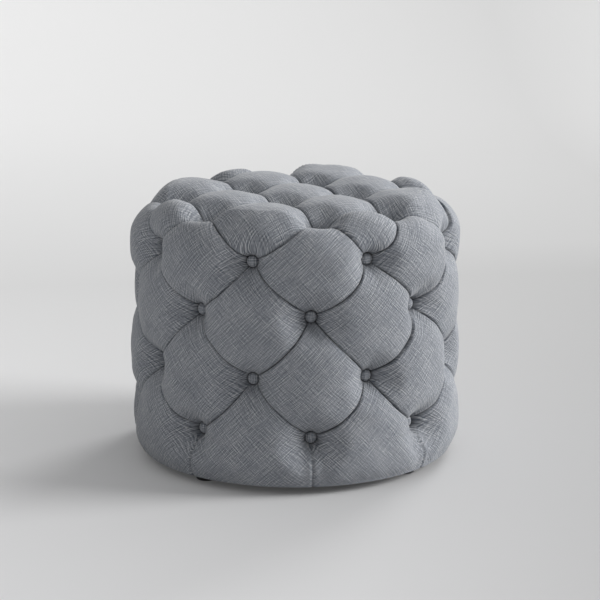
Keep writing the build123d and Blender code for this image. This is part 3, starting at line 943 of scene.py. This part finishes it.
def covered_buttons(name, buttons):
    """Covered buttons: cloth drawn over a domed mould, with a rolled edge."""
    bm = bmesh.new()
    weave = bm.loops.layers.uv.new("weave")
    for button in buttons:
        chain = [bm.verts.new((0.0, 0.0, BUTTON_PROFILE[0][1] * MM))]
        edges = []
        for radius, height in BUTTON_PROFILE[1:]:
            vert = bm.verts.new((radius * MM, 0.0, height * MM))
            edges.append(bm.edges.new((chain[-1], vert)))
            chain.append(vert)
        bmesh.ops.spin(
            bm,
            geom=chain + edges,
            cent=(0, 0, 0),
            axis=(0, 0, 1),
            angle=2.0 * pi,
            steps=28,
            use_merge=True,
            use_duplicate=False,
        )
        verts = {vert for vert in bm.verts if not vert.tag}
        for face in {face for vert in verts for face in vert.link_faces}:
            for loop in face.loops:
                spot = loop.vert.co
                loop[weave].uv = (spot.x + button.azimuth * MM, spot.y + button.run * MM)
        out = Matrix.Translation(lifted(button.azimuth, button.run, 0.0) * MM)
        turn = Matrix.Rotation(radians(button.azimuth), 4, "Z")
        tip = Matrix.Rotation(radians(0.0 if button.run > RIM_START else 90.0), 4, "X")
        bmesh.ops.transform(bm, matrix=out @ turn @ tip, verts=list(verts))
        for vert in verts:
            vert.tag = True
    bmesh.ops.remove_doubles(bm, verts=bm.verts, dist=TINY * MM)
    bmesh.ops.holes_fill(bm, edges=[edge for edge in bm.edges if edge.is_boundary], sides=0)
    bmesh.ops.recalc_face_normals(bm, faces=bm.faces)
    for face in bm.faces:
        face.smooth = True
    made = new_object(name, bm)
    dress(made, linen)
    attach(made, "root")
    return made


for row, buttons in button_rows.items():
    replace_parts(covered_buttons(f"covered_buttons_{row}", buttons), f"buttons_{row}")


DUST_RADIUS = 245.5
DUST_EDGE = 2.0
DUST_RINGS = 14
DUST_RING = 16.5
DUST_THICKNESS = 0.5
DUST_MIDDLE = 13.45
DUST_SAG = 0.4
DUST_SAG_SPAN = 45.0
DUST_SAG_EDGE = 30.0


def dust_cover():
    """Cambric stretched under the base, with a slight sag between its staples."""
    bm = bmesh.new()
    bmesh.ops.create_circle(bm, cap_ends=True, cap_tris=False, segments=96, radius=DUST_RADIUS * MM)
    bmesh.ops.inset_region(bm, faces=bm.faces, thickness=DUST_EDGE * MM)
    for _ in range(DUST_RINGS):
        inner = min(bm.faces, key=lambda face: face.calc_center_median().length)
        bmesh.ops.inset_region(bm, faces=[inner], thickness=DUST_RING * MM)
    for vert in bm.verts:
        spot = vert.co / MM
        sag = DUST_SAG * noise.noise(spot / DUST_SAG_SPAN)
        vert.co.z = (DUST_MIDDLE + sag * min((DUST_RADIUS - spot.length) / DUST_SAG_EDGE, 1.0)) * MM
    bmesh.ops.solidify(bm, geom=bm.faces, thickness=DUST_THICKNESS * MM)
    bmesh.ops.recalc_face_normals(bm, faces=bm.faces)
    return new_object("cambric_dust_cover", bm)


cambric = dust_cover()
dress(cambric, finishes["black_cambric"])
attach(cambric, "root")
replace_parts(cambric, "dust_cover")

# The studio's floor and backdrop, in metres
SWEEP_HALF_WIDTH = 9.0
SWEEP_LENGTH = 17.0
SWEEP_FRONT = -9.0
SWEEP_BACK = 3.0
SWEEP_BEND = 2.2


def studio():
    """A pale floor that curves up behind into the backdrop."""
    bm = bmesh.new()
    bmesh.ops.create_grid(bm, x_segments=2, y_segments=90, size=1.0)
    for vert in bm.verts:
        past = (vert.co.y + 1.0) / 2.0 * SWEEP_LENGTH - (SWEEP_BACK - SWEEP_FRONT)
        quarter = SWEEP_BEND * pi / 2.0
        angle = min(max(past, 0.0), quarter) / SWEEP_BEND
        vert.co.x *= SWEEP_HALF_WIDTH
        vert.co.y = SWEEP_BACK + min(past, 0.0) + SWEEP_BEND * sin(angle)
        vert.co.z = SWEEP_BEND * (1.0 - cos(angle)) + max(past - quarter, 0.0)
    bmesh.ops.recalc_face_normals(bm, faces=bm.faces)
    for face in bm.faces:
        face.smooth = True
    return new_object("studio_sweep", bm)


sweep = studio()

# Painted light and shade on the paper: its colour falls off to the right and to the back, as on a
# backdrop lit from one side
paper = Finish("studio_paper", Roughness=0.95, Specular_IOR_Level=0.1)
spot = paper.node("SeparateXYZ", Vector=paper.node("TexCoord").outputs["Object"])


def paper_range(axis, start, end, first=0.0, last=1.0):
    """A value that goes from one number to another between two places in the studio."""
    made = paper.node("MapRange", Value=spot.outputs[axis], i1=start, i2=end, i3=first, i4=last)
    return made.outputs["Result"]


slope = paper_range("Y", -1.5, 4.5)
near_by = paper_range("X", -1.2, 1.2, 1.42, 0.17)
far_off = paper_range("X", -1.2, 1.2, 1.24, 0.66)
reach = paper_range("Y", -1.0, 1.6)
across = paper.node("Mix", {"data_type": "FLOAT"}, Factor=reach, A=near_by, B=far_off)
across = across.outputs["Result"]
away = paper_range("Y", -1.0, 3.5)
pale = ramp(paper, away, [(0.0, "e3e3e4"), (0.5, "bebebe"), (1.0, "c8c8c8")])
tone = paper.node("VectorMath", {"operation": "SCALE"}, i0=pale, Scale=across)
paper.join(tone.outputs["Vector"], "Base Color")

# Painted light: the far paper glows, more towards the back and less to the right, for the eye and
# for reflections only, so it lights nothing.
sight = paper.node("LightPath")
seen = paper.maths("ADD", sight.outputs["Is Camera Ray"], sight.outputs["Is Glossy Ray"])
seen = paper.maths("ADD", seen, sight.outputs["Is Transmission Ray"])
lift = paper.maths("MULTIPLY", paper.maths("MULTIPLY", seen, slope), across)
paper.join(paper.maths("MULTIPLY", lift, 0.2), "Emission Strength")
paper.shader.inputs["Emission Color"].default_value = linear("ffffff")
dress(sweep, paper.material)

world = bpy.data.worlds.new("studio_light")
bpy.context.scene.world = world
world.use_nodes = True
background = world.node_tree.nodes["Background"]
background.inputs["Color"].default_value = (1.0, 1.0, 1.0, 1.0)
background.inputs["Strength"].default_value = 0.48


def aimed(made, place, aim):
    """Puts a lamp or camera in its place and points it at its aim."""
    made.location = place
    made.rotation_mode = "QUATERNION"
    made.rotation_quaternion = (Vector(place) - Vector(aim)).to_track_quat("Z", "Y")
    bpy.context.scene.collection.objects.link(made)


def soft_lamp(name, place, aim, size, power):
    lamp = bpy.data.lights.new(name, "AREA")
    lamp.shape = "DISK"
    lamp.size = size
    lamp.energy = power
    aimed(bpy.data.objects.new(name, lamp), place, aim)


soft_lamp("key_light", (5.1, -0.7, 2.4), (0.0, 0.0, 0.25), 2.6, 318.0)
soft_lamp("back_light", (2.8, 3.7, 3.0), (0.0, 0.0, 0.2), 2.0, 128.0)

# Camera: a long lens, about 14 degrees above level and 6 degrees left of the front
CAMERA_TURN = radians(-5.9)
CAMERA_OUT = 3.2
CAMERA_HEIGHT = 1.0415
AIM_SIDE = 0.0076
AIM_HEIGHT = 0.2576
scene = bpy.context.scene
lens = bpy.data.cameras.new("photo_camera")
lens.sensor_width = 36.0
lens.lens = 115.9
lens.clip_end = 60.0
camera = bpy.data.objects.new("photo_camera", lens)
place = (CAMERA_OUT * sin(CAMERA_TURN), -CAMERA_OUT * cos(CAMERA_TURN), CAMERA_HEIGHT)
aimed(camera, place, (AIM_SIDE * cos(CAMERA_TURN), AIM_SIDE * sin(CAMERA_TURN), AIM_HEIGHT))
scene.camera = camera
scene.view_settings.view_transform = "Standard"
